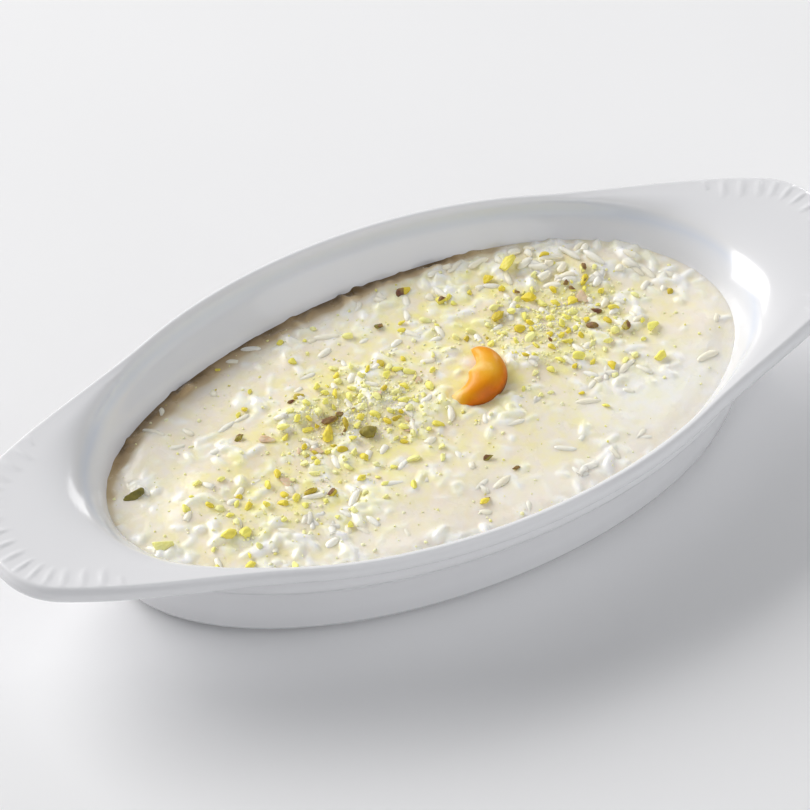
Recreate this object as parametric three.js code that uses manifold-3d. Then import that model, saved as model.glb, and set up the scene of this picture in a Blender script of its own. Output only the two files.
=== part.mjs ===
// Kheer, a rice pudding, in the oval porcelain dish with two ears that it is served in.
// Millimetres, +Z up. The origin is on the table, under the middle of the dish; +X runs to one ear.
import * as THREE from "three";
import { mergeVertices } from "three/addons/utils/BufferGeometryUtils.js";
import Module from "manifold-3d";

const wasm = await Module();
wasm.setup();

// ---- driving dimensions ----
const LENGTH = 250; // over both ears
const BOWL_LENGTH = 194; // the rim's ellipse, ears left out
const WIDTH = 115;
const HEIGHT = 34;
const LEVEL = 22; // the pudding's usual level at the wall
const CLEARANCE = 0.3; // between pieces that touch

const A = BOWL_LENGTH / 2;
const B = WIDTH / 2;
const TIP = LENGTH / 2;

// ---- the ears, in plan ----
const EAR_START = THREE.MathUtils.degToRad(53.6); // where the outline leaves the ellipse
const EAR_SIDE = THREE.MathUtils.degToRad(29.6); // slope of an ear's side against the long axis
const EAR_CORNER = { x: 104.7, y: 6.2, radius: 19.6 };
const EAR_END = THREE.MathUtils.degToRad(12); // where the corner's arc runs into the end
const RIB = { pitch: 5, reach: 26, inset: 5, length: 7, width: 2.6, height: 0.5 };

// ---- the nut on top ----
const CASHEW = {
  x: 12.8,
  y: 4.2,
  turn: -0.82,
  bend: 8.0,
  sweep: 3.05,
  thick: 9.0,
  flat: 0.9,
  fill: 0.5,
  lift: 2.3,
};

const GRAIN = { count: 112, length: 7.4, width: 2.4, height: 2.2, apart: 7.4 };
const PISTACHIO = { count: 44, largest: 5.6, smallest: 2.8 };

// The steps of each stretch of the outline's quarter, from the long side's middle to the ear's tip.
const STEPS = { ellipse: 7, side: 6, corner: 5, end: 2 };

/** A seeded generator of numbers from 0 to 1. */
function randomFrom(seed) {
  let state = seed >>> 0;
  return () => {
    state = (state + 0x6d2b79f5) >>> 0;
    let t = state;
    t = Math.imul(t ^ (t >>> 15), t | 1);
    t ^= t + Math.imul(t ^ (t >>> 7), t | 61);
    return ((t ^ (t >>> 14)) >>> 0) / 4294967296;
  };
}

// ---- outline ----

/** One quarter of the rim's outline, from (0, B) to (TIP, 0), finely or as STEPS says. */
function quarterOutline(steps) {
  const leave = new THREE.Vector2(A * Math.cos(EAR_START), B * Math.sin(EAR_START));
  const leaving = new THREE.Vector2(A * Math.sin(EAR_START), -B * Math.cos(EAR_START)).normalize();
  const { x, y, radius } = EAR_CORNER;
  const onCorner = (angle) => new THREE.Vector2(x + radius * Math.cos(angle), y + radius * Math.sin(angle));
  const sideEnd = Math.PI / 2 - EAR_SIDE;
  const arrive = onCorner(sideEnd);
  const arriving = new THREE.Vector2(Math.cos(EAR_SIDE), -Math.sin(EAR_SIDE));
  const reach = leave.distanceTo(arrive) / 3;
  const turned = onCorner(EAR_END);
  const pull = (TIP - turned.x) / Math.sin(EAR_END);
  const curves = [
    [new THREE.EllipseCurve(0, 0, A, B, Math.PI / 2, EAR_START, true), steps.ellipse],
    [
      new THREE.CubicBezierCurve(
        leave,
        leave.clone().addScaledVector(leaving, reach),
        arrive.clone().addScaledVector(arriving, -reach),
        arrive,
      ),
      steps.side,
    ],
    [new THREE.EllipseCurve(x, y, radius, radius, sideEnd, EAR_END, true), steps.corner],
    [
      new THREE.QuadraticBezierCurve(
        turned,
        new THREE.Vector2(TIP, turned.y - pull * Math.cos(EAR_END)),
        new THREE.Vector2(TIP, 0),
      ),
      steps.end,
    ],
  ];
  const points = curves.flatMap(([curve, count]) => curve.getPoints(count).slice(0, -1));
  return [...points, new THREE.Vector2(TIP, 0)];
}

/** The whole outline, counter-clockwise from the tip at +X, by mirroring the quarter. */
function wholeOutline(steps) {
  const quarter = quarterOutline(steps).reverse();
  const half = [...quarter, ...quarter.slice(0, -1).reverse().map((p) => new THREE.Vector2(-p.x, p.y))];
  return [...half, ...half.slice(1, -1).reverse().map((p) => new THREE.Vector2(p.x, -p.y))];
}

const OUTLINE = wholeOutline(STEPS);
const AROUND = OUTLINE.length;

/** The outward normal of a closed outline at each of its points. */
function normalsOf(outline) {
  return outline.map((_, i) => {
    const before = outline[(i + outline.length - 1) % outline.length];
    const after = outline[(i + 1) % outline.length];
    return new THREE.Vector2(after.y - before.y, before.x - after.x).normalize();
  });
}

const NORMALS = normalsOf(OUTLINE);

/** A ring of the eared outline, moved inwards by inset, at height z. */
function earedRing(inset, z) {
  return OUTLINE.map((p, i) => new THREE.Vector3(p.x - NORMALS[i].x * inset, p.y - NORMALS[i].y * inset, z));
}

/** A ring of an ellipse at height z, its points on the same rays as the outline's. */
function ovalRing(a, b, z) {
  return OUTLINE.map((p) => {
    const share = 1 / Math.hypot(p.x / A, p.y / B);
    return new THREE.Vector3((p.x * share * a) / A, (p.y * share * b) / B, z);
  });
}

// How far each point of the outline belongs to an ear, from 0 on the long sides to 1.
const EARED = OUTLINE.map((p) => THREE.MathUtils.smoothstep(Math.abs(p.x), 70, 105));

/** A ring that is one ellipse along the sides and another one at the ears. */
function flaredRing({ side, ear }) {
  const [atSides, atEars] = [side, ear].map(({ a, b, z }) => ovalRing(a, b, z));
  return atSides.map((p, i) => p.lerp(atEars[i], EARED[i]));
}

/** A closed body through rings of equal length, capped by a point at each end. */
function loft(rings, startPoint, endPoint) {
  const count = rings[0].length;
  const points = [startPoint, ...rings.flat(), endPoint];
  const index = [];
  const at = (ring, i) => 1 + ring * count + (i % count);
  for (let i = 0; i < count; i++) {
    index.push(0, at(0, i + 1), at(0, i));
    for (let ring = 0; ring + 1 < rings.length; ring++) {
      index.push(at(ring, i), at(ring, i + 1), at(ring + 1, i + 1));
      index.push(at(ring, i), at(ring + 1, i + 1), at(ring + 1, i));
    }
    index.push(at(rings.length - 1, i), at(rings.length - 1, i + 1), points.length - 1);
  }
  const geometry = new THREE.BufferGeometry().setFromPoints(points);
  geometry.setIndex(index);
  return geometry;
}

// ---- solids for cutting and joining ----

function solidFrom(geometry) {
  const bare = geometry.clone();
  bare.deleteAttribute("normal");
  bare.deleteAttribute("uv");
  const merged = mergeVertices(bare, 1e-4);
  return new wasm.Manifold(
    new wasm.Mesh({
      numProp: 3,
      vertProperties: new Float32Array(merged.attributes.position.array),
      triVerts: new Uint32Array(merged.index.array),
    }),
  );
}

function geometryFrom(solid) {
  const mesh = solid.getMesh();
  const geometry = new THREE.BufferGeometry();
  geometry.setAttribute("position", new THREE.BufferAttribute(new Float32Array(mesh.vertProperties), 3));
  geometry.setIndex(new THREE.BufferAttribute(new Uint32Array(mesh.triVerts), 1));
  geometry.computeVertexNormals();
  return geometry;
}

// ---- the dish ----

// The ellipses of the outside, from the hollow under the foot up to the lip. The foot stands back, the
// wall's bottom is rounded, and a low shoulder runs round under the lip.
const OUTSIDE = [
  { a: 80.4, b: 38.8, z: 1.2 },
  { a: 82.4, b: 40.8, z: 0 },
  { a: 84.6, b: 43.0, z: 0 },
  { a: 84.9, b: 43.3, z: 2.4 },
  { a: 87.4, b: 45.9, z: 2.4 },
  { a: 89.3, b: 47.8, z: 3.1 },
  { a: 90.1, b: 48.6, z: 4.8 },
  { a: 93.6, b: 52.2, z: 20.6 },
  { a: 95.2, b: 53.9, z: 23.4 },
  { a: 94.2, b: 52.8, z: 26 },
];
const UNDER = 1.2;

// The rim's rounded edge on the eared outline: how far in, and how far below the top.
const EDGE = [
  { inset: 1.6, drop: 5.4 },
  { inset: 0, drop: 3.2 },
  { inset: 0.1, drop: 0.8 },
  { inset: 0.9, drop: 0 },
];
const UNDER_EAR = HEIGHT - 6.7; // the height halfway between the body and the edge

// From the rim's crest down into the cavity: a narrow steep edge along the sides, and a broad soft
// shoulder at the ears.
const FLARE = [
  { side: { a: 94, b: 54.4, z: 33 }, ear: { a: 103.7, b: 52, z: 32.9 } },
  { side: { a: 92.9, b: 53.3, z: 28.8 }, ear: { a: 96.4, b: 51.6, z: 30.9 } },
];

// The ellipses of the cavity below that, down to the floor's edge.
const CAVITY = [
  { a: 91.2, b: 51.2, z: 26.5 },
  { a: 88.2, b: 48.0, z: LEVEL },
  { a: 85.6, b: 44.2, z: 10 },
  { a: 81.2, b: 39.6, z: 5.6 },
];
const LEVEL_RING = CAVITY[1];
const FLOOR = 4.8;

function dishRings() {
  const outside = OUTSIDE.map(({ a, b, z }) => ovalRing(a, b, z));
  const edge = EDGE.map(({ inset, drop }) => earedRing(inset, HEIGHT - drop));
  const underEar = outside[outside.length - 1].map((p, i) => p.clone().lerp(edge[0][i], 0.5).setZ(UNDER_EAR));
  const flare = FLARE.map(flaredRing);
  const cavity = CAVITY.map(({ a, b, z }) => ovalRing(a, b, z));
  return [...outside, underEar, ...edge, ...flare, ...cavity];
}

/** The ribs near an ear's edge: short low ridges that stand across it, one every RIB.pitch of the edge. */
function ribSolids(body) {
  const dish = new THREE.Mesh(body);
  const down = new THREE.Vector3(0, 0, -1);
  const topAt = ({ x, y }) => {
    const above = new THREE.Vector3(x, y, 2 * HEIGHT);
    return new THREE.Raycaster(above, down).intersectObject(dish)[0].point.z;
  };
  const fine = wholeOutline({ ellipse: 40, side: 40, corner: 40, end: 20 });
  const normals = normalsOf(fine);
  const half = fine.length / 2;
  const solids = [];
  const place = (i, mirror) => {
    const normal = normals[i];
    const middle = fine[i].clone().addScaledVector(normal, -RIB.inset);
    const outer = topAt(middle.clone().addScaledVector(normal, RIB.length / 3));
    const inner = topAt(middle.clone().addScaledVector(normal, -RIB.length / 3));
    const slope = Math.atan2(outer - inner, (2 * RIB.length) / 3);
    const geometry = new THREE.OctahedronGeometry(0.5);
    geometry.scale(RIB.length, RIB.width, 2 * RIB.height);
    geometry.rotateY(-slope).rotateZ(Math.atan2(normal.y, normal.x));
    geometry.translate(middle.x, middle.y, (outer + inner) / 2);
    if (mirror) geometry.rotateZ(Math.PI);
    solids.push(solidFrom(geometry));
  };
  let travelled = 0;
  let next = RIB.pitch / 2;
  for (let i = 1; i < half && fine[i].x > TIP - RIB.reach; i++) {
    travelled += fine[i].distanceTo(fine[i - 1]);
    if (travelled < next) continue;
    next += RIB.pitch;
    const below = fine.length - i;
    for (const mirror of [false, true]) {
      place(i, mirror);
      place(below, mirror);
    }
  }
  return solids;
}

function makeDish() {
  const body = loft(dishRings(), new THREE.Vector3(0, 0, UNDER), new THREE.Vector3(0, 0, FLOOR));
  const solid = wasm.Manifold.union([solidFrom(body), ...ribSolids(body)]);
  const porcelain = new THREE.MeshStandardMaterial({ color: 0xf4f3f1, roughness: 0.12, metalness: 0 });
  const mesh = new THREE.Mesh(geometryFrom(solid), porcelain);
  mesh.name = "dish";
  return mesh;
}

// ---- the cashew ----

/** A bent nut: rings along an arc, fat in the middle, filled out inside. grow adds to it all round. */
function cashewGeometry(grow) {
  const { bend, sweep, thick, flat, fill } = CASHEW;
  const along = 14;
  const round = 12;
  const rings = [];
  for (let i = 1; i < along; i++) {
    const t = i / along;
    const angle = (t - 0.5) * sweep;
    const swell = Math.pow(Math.sin(Math.PI * t), 0.52) * (1.06 - 0.22 * t);
    const radius = (thick / 2) * swell + grow;
    const ring = [];
    for (let k = 0; k < round; k++) {
      const around = (-k / round) * 2 * Math.PI;
      const inside = Math.min(0, Math.cos(around)) * fill * Math.sin(Math.PI * t) ** 2;
      const out = bend + radius * (Math.cos(around) + inside);
      const up = radius * flat * Math.sin(around);
      ring.push(new THREE.Vector3(out * Math.cos(angle), out * Math.sin(angle), up));
    }
    rings.push(ring);
  }
  const end = (sweep / 2) * 1.04 + grow / bend;
  const tip = (angle) => new THREE.Vector3(bend * Math.cos(angle), bend * Math.sin(angle), 0);
  return loft(rings, tip(-end), tip(end));
}

function placeCashew(geometry) {
  const { x, y, turn, lift } = CASHEW;
  return geometry.rotateX(0.12).rotateZ(turn).translate(x, y, LEVEL + lift);
}

function makeCashew() {
  const fried = new THREE.MeshStandardMaterial({ color: 0xe08a2c, roughness: 0.42, metalness: 0 });
  const mesh = new THREE.Mesh(placeCashew(cashewGeometry(0)), fried);
  mesh.name = "cashew";
  return mesh;
}

// ---- the pudding ----

const LUMP = { count: 70, radius: 8, height: 1.0 };
// Along the wall the pudding has sunk in one place and is heaped with rice in the next; angles in radians.
const SUNK = { angle: 2.05, spread: 0.7, height: -2.4 };
const HEAPED = { angle: 0.8, spread: 0.45, height: 1.5 };
const CORE_AROUND = 50;
const CORE_RINGS = 9;

/** Soft lumps where rice lies just under the milk. */
function makeLumps() {
  const random = randomFrom(11);
  return Array.from({ length: LUMP.count }, () => {
    const angle = random() * 2 * Math.PI;
    const out = Math.sqrt(random());
    return {
      x: LEVEL_RING.a * out * Math.cos(angle),
      y: LEVEL_RING.b * out * Math.sin(angle),
      radius: LUMP.radius * (0.7 + 0.8 * random()),
      height: LUMP.height * (random() * 1.6 - 0.45),
    };
  });
}

const LUMPS = makeLumps();

/** The pudding's height over the table at a place. */
function surfaceHeight(x, y) {
  const out = Math.min(1, Math.hypot(x / LEVEL_RING.a, y / LEVEL_RING.b));
  const angle = Math.atan2(y / LEVEL_RING.b, x / LEVEL_RING.a);
  const dome = 1.1 * (1 - out * out);
  const edge = THREE.MathUtils.smoothstep(1 - out, 0, 0.1);
  const nearWall = THREE.MathUtils.smoothstep(out, 0.6, 1);
  let atWall = 0;
  for (const part of [SUNK, HEAPED]) {
    const away = (angle - part.angle) / part.spread;
    atWall += part.height * nearWall * Math.exp(-away * away);
  }
  let relief = 0;
  for (const lump of LUMPS) {
    const away = Math.hypot(x - lump.x, y - lump.y) / lump.radius;
    if (away < 2) relief += lump.height * Math.exp(-away * away * 1.6);
  }
  return LEVEL - 0.5 + dome + atWall + edge * (0.5 + relief);
}

/** The cavity's half-length and half-width at a height. */
function cavityAt(z) {
  const below = CAVITY.findIndex((ring) => ring.z <= z);
  const [upper, lower] = [CAVITY[below - 1], CAVITY[below]];
  const share = (z - lower.z) / (upper.z - lower.z);
  const { lerp } = THREE.MathUtils;
  return { a: lerp(lower.a, upper.a, share), b: lerp(lower.b, upper.b, share) };
}

/** A ring of the pudding; place gives a point for each angle round it. */
function coreRing(place) {
  return Array.from({ length: CORE_AROUND }, (_, i) => place((i / CORE_AROUND) * 2 * Math.PI));
}

/** The milk and the rice in it, down to the dish's floor. */
function kheerCore() {
  const inset = CLEARANCE + 0.18;
  const wallRing = ({ a, b, z }, gap, lift) =>
    coreRing((angle) => {
      return new THREE.Vector3((a - gap) * Math.cos(angle), (b - gap) * Math.sin(angle), z + lift);
    });
  const surfaceRing = (share) =>
    coreRing((angle) => {
      const atWall = surfaceHeight(LEVEL_RING.a * Math.cos(angle), LEVEL_RING.b * Math.sin(angle));
      const { a, b } = cavityAt(atWall);
      const x = (a - inset) * share * Math.cos(angle);
      const y = (b - inset) * share * Math.sin(angle);
      return new THREE.Vector3(x, y, share === 1 ? atWall : surfaceHeight(x, y));
    });
  const shares = Array.from({ length: CORE_RINGS }, (_, i) => 1 - Math.pow(i / CORE_RINGS, 1.15));
  const walls = [wallRing(CAVITY[3], 2 * inset, inset), wallRing(CAVITY[2], inset, 0)];
  const below = new THREE.Vector3(0, 0, FLOOR + CLEARANCE);
  const above = new THREE.Vector3(0, 0, surfaceHeight(0, 0));
  return solidFrom(loft([...walls, ...shares.map(surfaceRing)], below, above));
}

const STREWN = 0.96; // how much of the way to the wall things lie on the pudding

/** True where a piece of that reach stays clear of the wall and of the nut. */
function isFree(x, y, reach) {
  const { a, b } = LEVEL_RING;
  const inside = Math.hypot(x / (a - reach), y / (b - reach)) < STREWN;
  const { bend, thick, turn } = CASHEW;
  const nutX = CASHEW.x + bend * 0.6 * Math.cos(turn);
  const nutY = CASHEW.y + bend * 0.6 * Math.sin(turn);
  return inside && Math.hypot(x - nutX, y - nutY) > bend + thick / 2 + reach + 0.4;
}

/** Cooked rice grains that show above the milk, spread evenly with no two crossing at their middles. */
function riceGrains() {
  const random = randomFrom(29);
  const placed = [];
  const solids = [];
  for (let tries = 0; tries < 9000 && placed.length < GRAIN.count; tries++) {
    const angle = random() * 2 * Math.PI;
    const out = Math.sqrt(random());
    const x = LEVEL_RING.a * out * Math.cos(angle);
    const y = LEVEL_RING.b * out * Math.sin(angle);
    const size = 0.8 + 0.35 * random();
    const turn = random() * Math.PI;
    const tilt = (random() - 0.5) * 0.3;
    if (!isFree(x, y, (GRAIN.length / 2) * size)) continue;
    if (placed.some((p) => Math.hypot(p.x - x, p.y - y) < GRAIN.apart)) continue;
    placed.push({ x, y });
    const grain = new THREE.SphereGeometry(0.5, 6, 3);
    grain.rotateZ(Math.PI / 2);
    grain.scale(GRAIN.length * size, GRAIN.width * size, GRAIN.height * size);
    grain.rotateY(tilt).rotateZ(turn);
    grain.translate(x, y, surfaceHeight(x, y) + 0.35);
    solids.push(solidFrom(grain));
  }
  return { solids, placed };
}

// Where the chopped pistachio was scattered: the middle and the spread of each pinch, and its share.
const PINCHES = [
  { x: -16, y: 5, spreadX: 17, spreadY: 9, share: 0.34 },
  { x: 45, y: 11, spreadX: 14, spreadY: 11, share: 0.3 },
  { x: 12, y: 8, spreadX: 42, spreadY: 22, share: 0.22 },
  { x: -48, y: -14, spreadX: 22, spreadY: 12, share: 0.14 },
];

/** Chopped pistachio that is large enough to show from a step away. */
function pistachioBits(grains) {
  const random = randomFrom(53);
  const bell = () => (random() + random() + random() - 1.5) * 1.3;
  const placed = [];
  const solids = [];
  for (let tries = 0; tries < 9000 && placed.length < PISTACHIO.count; tries++) {
    let pick = random();
    const pinch = PINCHES.find((p) => (pick -= p.share) < 0) ?? PINCHES[0];
    const x = pinch.x + pinch.spreadX * bell();
    const y = pinch.y + pinch.spreadY * bell();
    const done = Math.sqrt(placed.length / PISTACHIO.count);
    const size = THREE.MathUtils.lerp(PISTACHIO.largest, PISTACHIO.smallest, done);
    const shape = [0.8 + 0.4 * random(), 0.55 + 0.3 * random(), 0.45 + 0.2 * random()];
    const turn = [random() * 0.6, random() * 0.6, random() * 6.28];
    if (!isFree(x, y, size / 2)) continue;
    if (placed.some((p) => Math.hypot(p.x - x, p.y - y) < p.size / 2 + size / 2 + 0.5)) continue;
    if (grains.some((p) => Math.hypot(p.x - x, p.y - y) < size / 2 + 1)) continue;
    placed.push({ x, y, size });
    const chopped = new THREE.CylinderGeometry(0.3, 0.5, 0.8, 5);
    chopped.scale(size * shape[0], size * shape[1], size * shape[2]);
    chopped.rotateX(turn[0]).rotateY(turn[1]).rotateZ(turn[2]);
    chopped.translate(x, y, surfaceHeight(x, y) + size * 0.12);
    solids.push(solidFrom(chopped));
  }
  return solids;
}

function makeKheer() {
  const grains = riceGrains();
  const toppings = [...grains.solids, ...pistachioBits(grains.placed)];
  const socket = solidFrom(placeCashew(cashewGeometry(CLEARANCE)));
  const solid = wasm.Manifold.union([kheerCore(), ...toppings]).subtract(socket);
  const milk = new THREE.MeshStandardMaterial({ color: 0xefe7d6, roughness: 0.3, metalness: 0 });
  const mesh = new THREE.Mesh(geometryFrom(solid), milk);
  mesh.name = "kheer";
  return mesh;
}

const kheerInDish = new THREE.Group();
kheerInDish.add(makeDish(), makeKheer(), makeCashew());

export default kheerInDish;
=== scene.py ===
"""Looks of the kheer in its oval dish: porcelain, pudding, rice, chopped nuts and a fried cashew.

Shapes are worked out in millimetres, with the part's own named sizes, and become metres in make_piece.
"""
import math

import bmesh
import bpy
import numpy as np
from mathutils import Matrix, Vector


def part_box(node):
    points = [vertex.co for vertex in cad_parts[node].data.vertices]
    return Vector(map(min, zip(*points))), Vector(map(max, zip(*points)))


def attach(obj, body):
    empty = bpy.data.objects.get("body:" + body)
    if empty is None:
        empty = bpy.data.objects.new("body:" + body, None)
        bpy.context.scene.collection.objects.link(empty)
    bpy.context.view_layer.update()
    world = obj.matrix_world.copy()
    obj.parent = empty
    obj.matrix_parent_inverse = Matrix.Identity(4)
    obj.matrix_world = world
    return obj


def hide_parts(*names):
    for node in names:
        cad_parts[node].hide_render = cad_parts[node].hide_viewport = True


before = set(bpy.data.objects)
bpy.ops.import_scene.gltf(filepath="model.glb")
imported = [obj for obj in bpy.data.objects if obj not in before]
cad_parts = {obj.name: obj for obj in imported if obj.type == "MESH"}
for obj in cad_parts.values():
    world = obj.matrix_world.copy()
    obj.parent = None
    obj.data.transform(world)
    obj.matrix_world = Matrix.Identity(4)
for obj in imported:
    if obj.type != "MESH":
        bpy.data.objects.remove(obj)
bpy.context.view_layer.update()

MM = 0.001

# ---- the dish's sizes, as its solid has them ----
dish_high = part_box("dish")[1] / MM
TIP = dish_high.x  # half the length over both ears
A = 97.0  # half the length of the rim's ellipse, ears left out
B = dish_high.y  # half the width
HEIGHT = 34.0

# The ears, in plan.
EAR_START = math.radians(53.6)  # where the outline leaves the ellipse
EAR_SIDE = math.radians(29.6)  # slope of an ear's side against the long axis
EAR_CORNER = (104.7, 6.2)
EAR_RADIUS = 19.6
EAR_END = math.radians(12)  # where the corner's arc runs into the end
RIB = {"pitch": 5.0, "reach": 26.0, "inset": 5.0, "length": 7.0, "width": 2.6, "height": 0.34}

# The steps of each stretch of the outline's quarter, from the long side's middle to the ear's tip.
OUTLINE_STEPS = {"ellipse": 44, "side": 92, "corner": 50, "end": 24}

# Half-length, half-width and height of the ellipses inside, from under the rim to the floor's edge.
CAVITY = [(92.9, 53.3, 28.8), (88.2, 48.0, 22.0), (85.6, 44.2, 10.0), (81.2, 39.6, 5.6)]
FLOOR = 4.8  # height of the cavity's floor in its middle
UNDER = 1.2  # height of the foot's hollow

# ---- the pudding's sizes ----
LEVEL = 22.0
LEVEL_A, LEVEL_B = CAVITY[1][:2]

# Stretches along the wall, by angle round the dish in radians, that lie lower or higher than the rest.
SUNK = {"angle": 2.05, "spread": 0.7, "height": -2.4}
HEAPED = {"angle": 0.8, "spread": 0.45, "height": 1.5}
FIELD_STEP = 0.4  # between the points of the grid of heights

# ---- the nut on top ----
CASHEW = {
    "x": 12.8,
    "y": 4.2,
    "turn": -0.82,
    "bend": 8.0,
    "sweep": 3.05,
    "thick": 9.0,
    "flat": 0.9,
    "fill": 0.5,  # how much fuller it is on the inside of its bend
    "lift": 2.3,
}


# ---- meshes ----

def make_piece(name, slot, replaced, points, faces, surface, **attributes):
    """A smooth mesh from points in millimetres, on the one body, that stands for the node replaced.

    Each attribute has one value for each point, which the surface's material reads by its name.
    """
    mesh = bpy.data.meshes.new(name)
    mesh.from_pydata((np.asarray(points) * MM).tolist(), [], [list(map(int, face)) for face in faces])
    mesh.update()
    mesh.shade_smooth()
    for key, values in attributes.items():
        layer = mesh.attributes.new(key, "FLOAT", "POINT")
        layer.data.foreach_set("value", np.asarray(values, np.float32))
    piece = bpy.data.objects.new(name, mesh)
    bpy.context.scene.collection.objects.link(piece)
    mesh.materials.append(surface.material)
    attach(piece, "root")
    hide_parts(replaced)


def loft(rings, start, end):
    """Points and faces of a closed body through rings of equal length, with a point at each end."""
    count = len(rings[0])
    points = np.vstack([[start], np.reshape(rings, (-1, 3)), [end]])
    i = np.arange(count)
    j = (i + 1) % count
    faces = [(0, 1 + b, 1 + a) for a, b in zip(i, j)]
    for ring in range(len(rings) - 1):
        low = 1 + ring * count
        high = low + count
        faces.extend(zip(low + i, low + j, high + j, high + i))
    last = 1 + (len(rings) - 1) * count
    faces.extend((last + a, last + b, len(points) - 1) for a, b in zip(i, j))
    return points, faces


def joined(parts):
    """One set of points and faces out of many, with the number of points of each."""
    points, faces, counts = [], [], []
    start = 0
    for part_points, part_faces in parts:
        points.append(part_points)
        faces.append(np.asarray(part_faces) + start)
        counts.append(len(part_points))
        start += len(part_points)
    return np.vstack(points), np.vstack(faces), np.array(counts)


def ball(subdivisions):
    """Points and triangles of an icosphere of radius 1."""
    made = bmesh.new()
    bmesh.ops.create_icosphere(made, subdivisions=subdivisions, radius=1)
    made.verts.ensure_lookup_table()
    points = np.array([v.co for v in made.verts])
    faces = np.array([[v.index for v in face.verts] for face in made.faces])
    made.free()
    return points, faces


def turned(points, angles):
    """Points turned about X, then Y, then Z."""
    for axis, angle in enumerate(angles):
        first, second = (axis + 1) % 3, (axis + 2) % 3
        c, s = math.cos(angle), math.sin(angle)
        moved = points.copy()
        moved[:, first] = c * points[:, first] - s * points[:, second]
        moved[:, second] = s * points[:, first] + c * points[:, second]
        points = moved
    return points


def smoothstep(value, low=0.0, high=1.0):
    """A soft step from 0 at low to 1 at high; where low is above high, it falls."""
    t = np.clip((value - low) / (high - low), 0, 1)
    return t * t * (3 - 2 * t)


def patch(x, y, middle_x, middle_y, spread_x, spread_y):
    """A soft oval patch: 1 in its middle, and fading with the distance from it."""
    return np.exp(-(((x - middle_x) / spread_x) ** 2) - ((y - middle_y) / spread_y) ** 2)


# ---- materials ----

def srgb(red, green, blue):
    """A colour as it looks on a screen, 0 to 255, in the linear values that shaders take."""
    def linear(value):
        value /= 255
        return value / 12.92 if value <= 0.04045 else ((value + 0.055) / 1.055) ** 2.4
    return (linear(red), linear(green), linear(blue), 1.0)


class Surface:
    """A material, whose nodes are added one by one.

    Inputs are numbers, colours or other nodes' outputs, and settings are the shader's own values.
    """

    def __init__(self, name, **settings):
        self.material = bpy.data.materials.new(name)
        self.material.use_nodes = True
        self.tree = self.material.node_tree
        self.shader = self.tree.nodes["Principled BSDF"]
        for socket, value in settings.items():
            self.shader.inputs[socket.replace("_", " ")].default_value = value
        self.place = self.node("TexCoord", {}).outputs["Object"]

    def node(self, kind, inputs, **properties):
        """A new node of that kind, with its inputs by name or number."""
        made = self.tree.nodes.new("ShaderNode" + kind)
        for name, value in properties.items():
            setattr(made, name, value)
        for name, value in inputs.items():
            self.feed(made.inputs[name], value)
        return made

    def feed(self, socket, value):
        """Links the socket to another node's output, or gives it a value."""
        if isinstance(value, bpy.types.NodeSocket):
            self.tree.links.new(value, socket)
        else:
            socket.default_value = value

    def set(self, name, value):
        """Feeds one of the shader's own inputs."""
        self.feed(self.shader.inputs[name], value)

    def noise(self, size, detail):
        """Noise of about 0 to 1, with blobs of that many millimetres and finer ones in them."""
        inputs = {"Vector": self.place, "Scale": 0.5 / (size * MM), "Detail": detail}
        return self.node("TexNoise", inputs).outputs["Fac"]

    def spread(self, value, low, high, to_low=0.0, to_high=1.0):
        """The value's range from low to high, as one from to_low to to_high."""
        inputs = {"Value": value, "From Min": low, "From Max": high, "To Min": to_low, "To Max": to_high}
        return self.node("MapRange", inputs).outputs[0]

    def math(self, operation, first, second):
        """Two values worked into one, such as by MULTIPLY."""
        return self.node("Math", {0: first, 1: second}, operation=operation).outputs[0]

    def attribute(self, name):
        """The values that the mesh's points have under that name."""
        return self.node("Attribute", {}, attribute_name=name).outputs["Fac"]

    def mix(self, share, first, second):
        """A colour that goes from the first to the second as the share goes from 0 to 1."""
        return self.node("Mix", {0: share, 6: first, 7: second}, data_type="RGBA").outputs[2]

    def ramp(self, value, *stops):
        """A colour for each share of the way; stops are (share, colour)."""
        made = self.node("ValToRGB", {"Fac": value})
        elements = made.color_ramp.elements
        while len(elements) < len(stops):
            elements.new(0.5)
        for element, (share, colour) in zip(elements, stops):
            element.position = share
            element.color = colour
        return made.outputs["Color"]

    def bump(self, height, millimetres, before=None):
        """A normal with bumps of that height, over the bumps made before."""
        inputs = {"Height": height, "Distance": millimetres * MM}
        if before:
            inputs["Normal"] = before
        return self.node("Bump", inputs).outputs["Normal"]


def porcelain():
    """White glaze, with painted shade in a cooler grey on the wall inside the rim, strongest towards its
    top; the foot's ground edge is bare and matt.
    """
    s = Surface("porcelain", Specular_IOR_Level=0.5, Coat_Weight=0.35, Coat_Roughness=0.1)
    cloudy = s.noise(38, 3)
    glaze = s.mix(s.spread(cloudy, 0.3, 0.7), srgb(229, 229, 231), srgb(233, 233, 235))
    # painted shade: the wall inside the rim turns a cooler grey where it faces away from the window
    glaze = s.mix(s.attribute("inside"), glaze, srgb(216, 222, 234))
    height = s.node("SeparateXYZ", {"Vector": s.place}).outputs["Z"]
    bare = s.spread(height, 0.6 * MM, 0.3 * MM)
    grain = s.noise(0.5, 4)
    clay = s.mix(grain, srgb(206, 196, 180), srgb(226, 218, 204))
    s.set("Base Color", s.mix(bare, glaze, clay))
    s.set("Roughness", s.spread(bare, 0, 1, 0.2, 0.7))
    wavy = s.bump(s.noise(16, 2), 0.12)
    s.set("Normal", s.bump(s.math("MULTIPLY", s.noise(1.6, 2), 0.2), 0.05, wavy))
    return s


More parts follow.
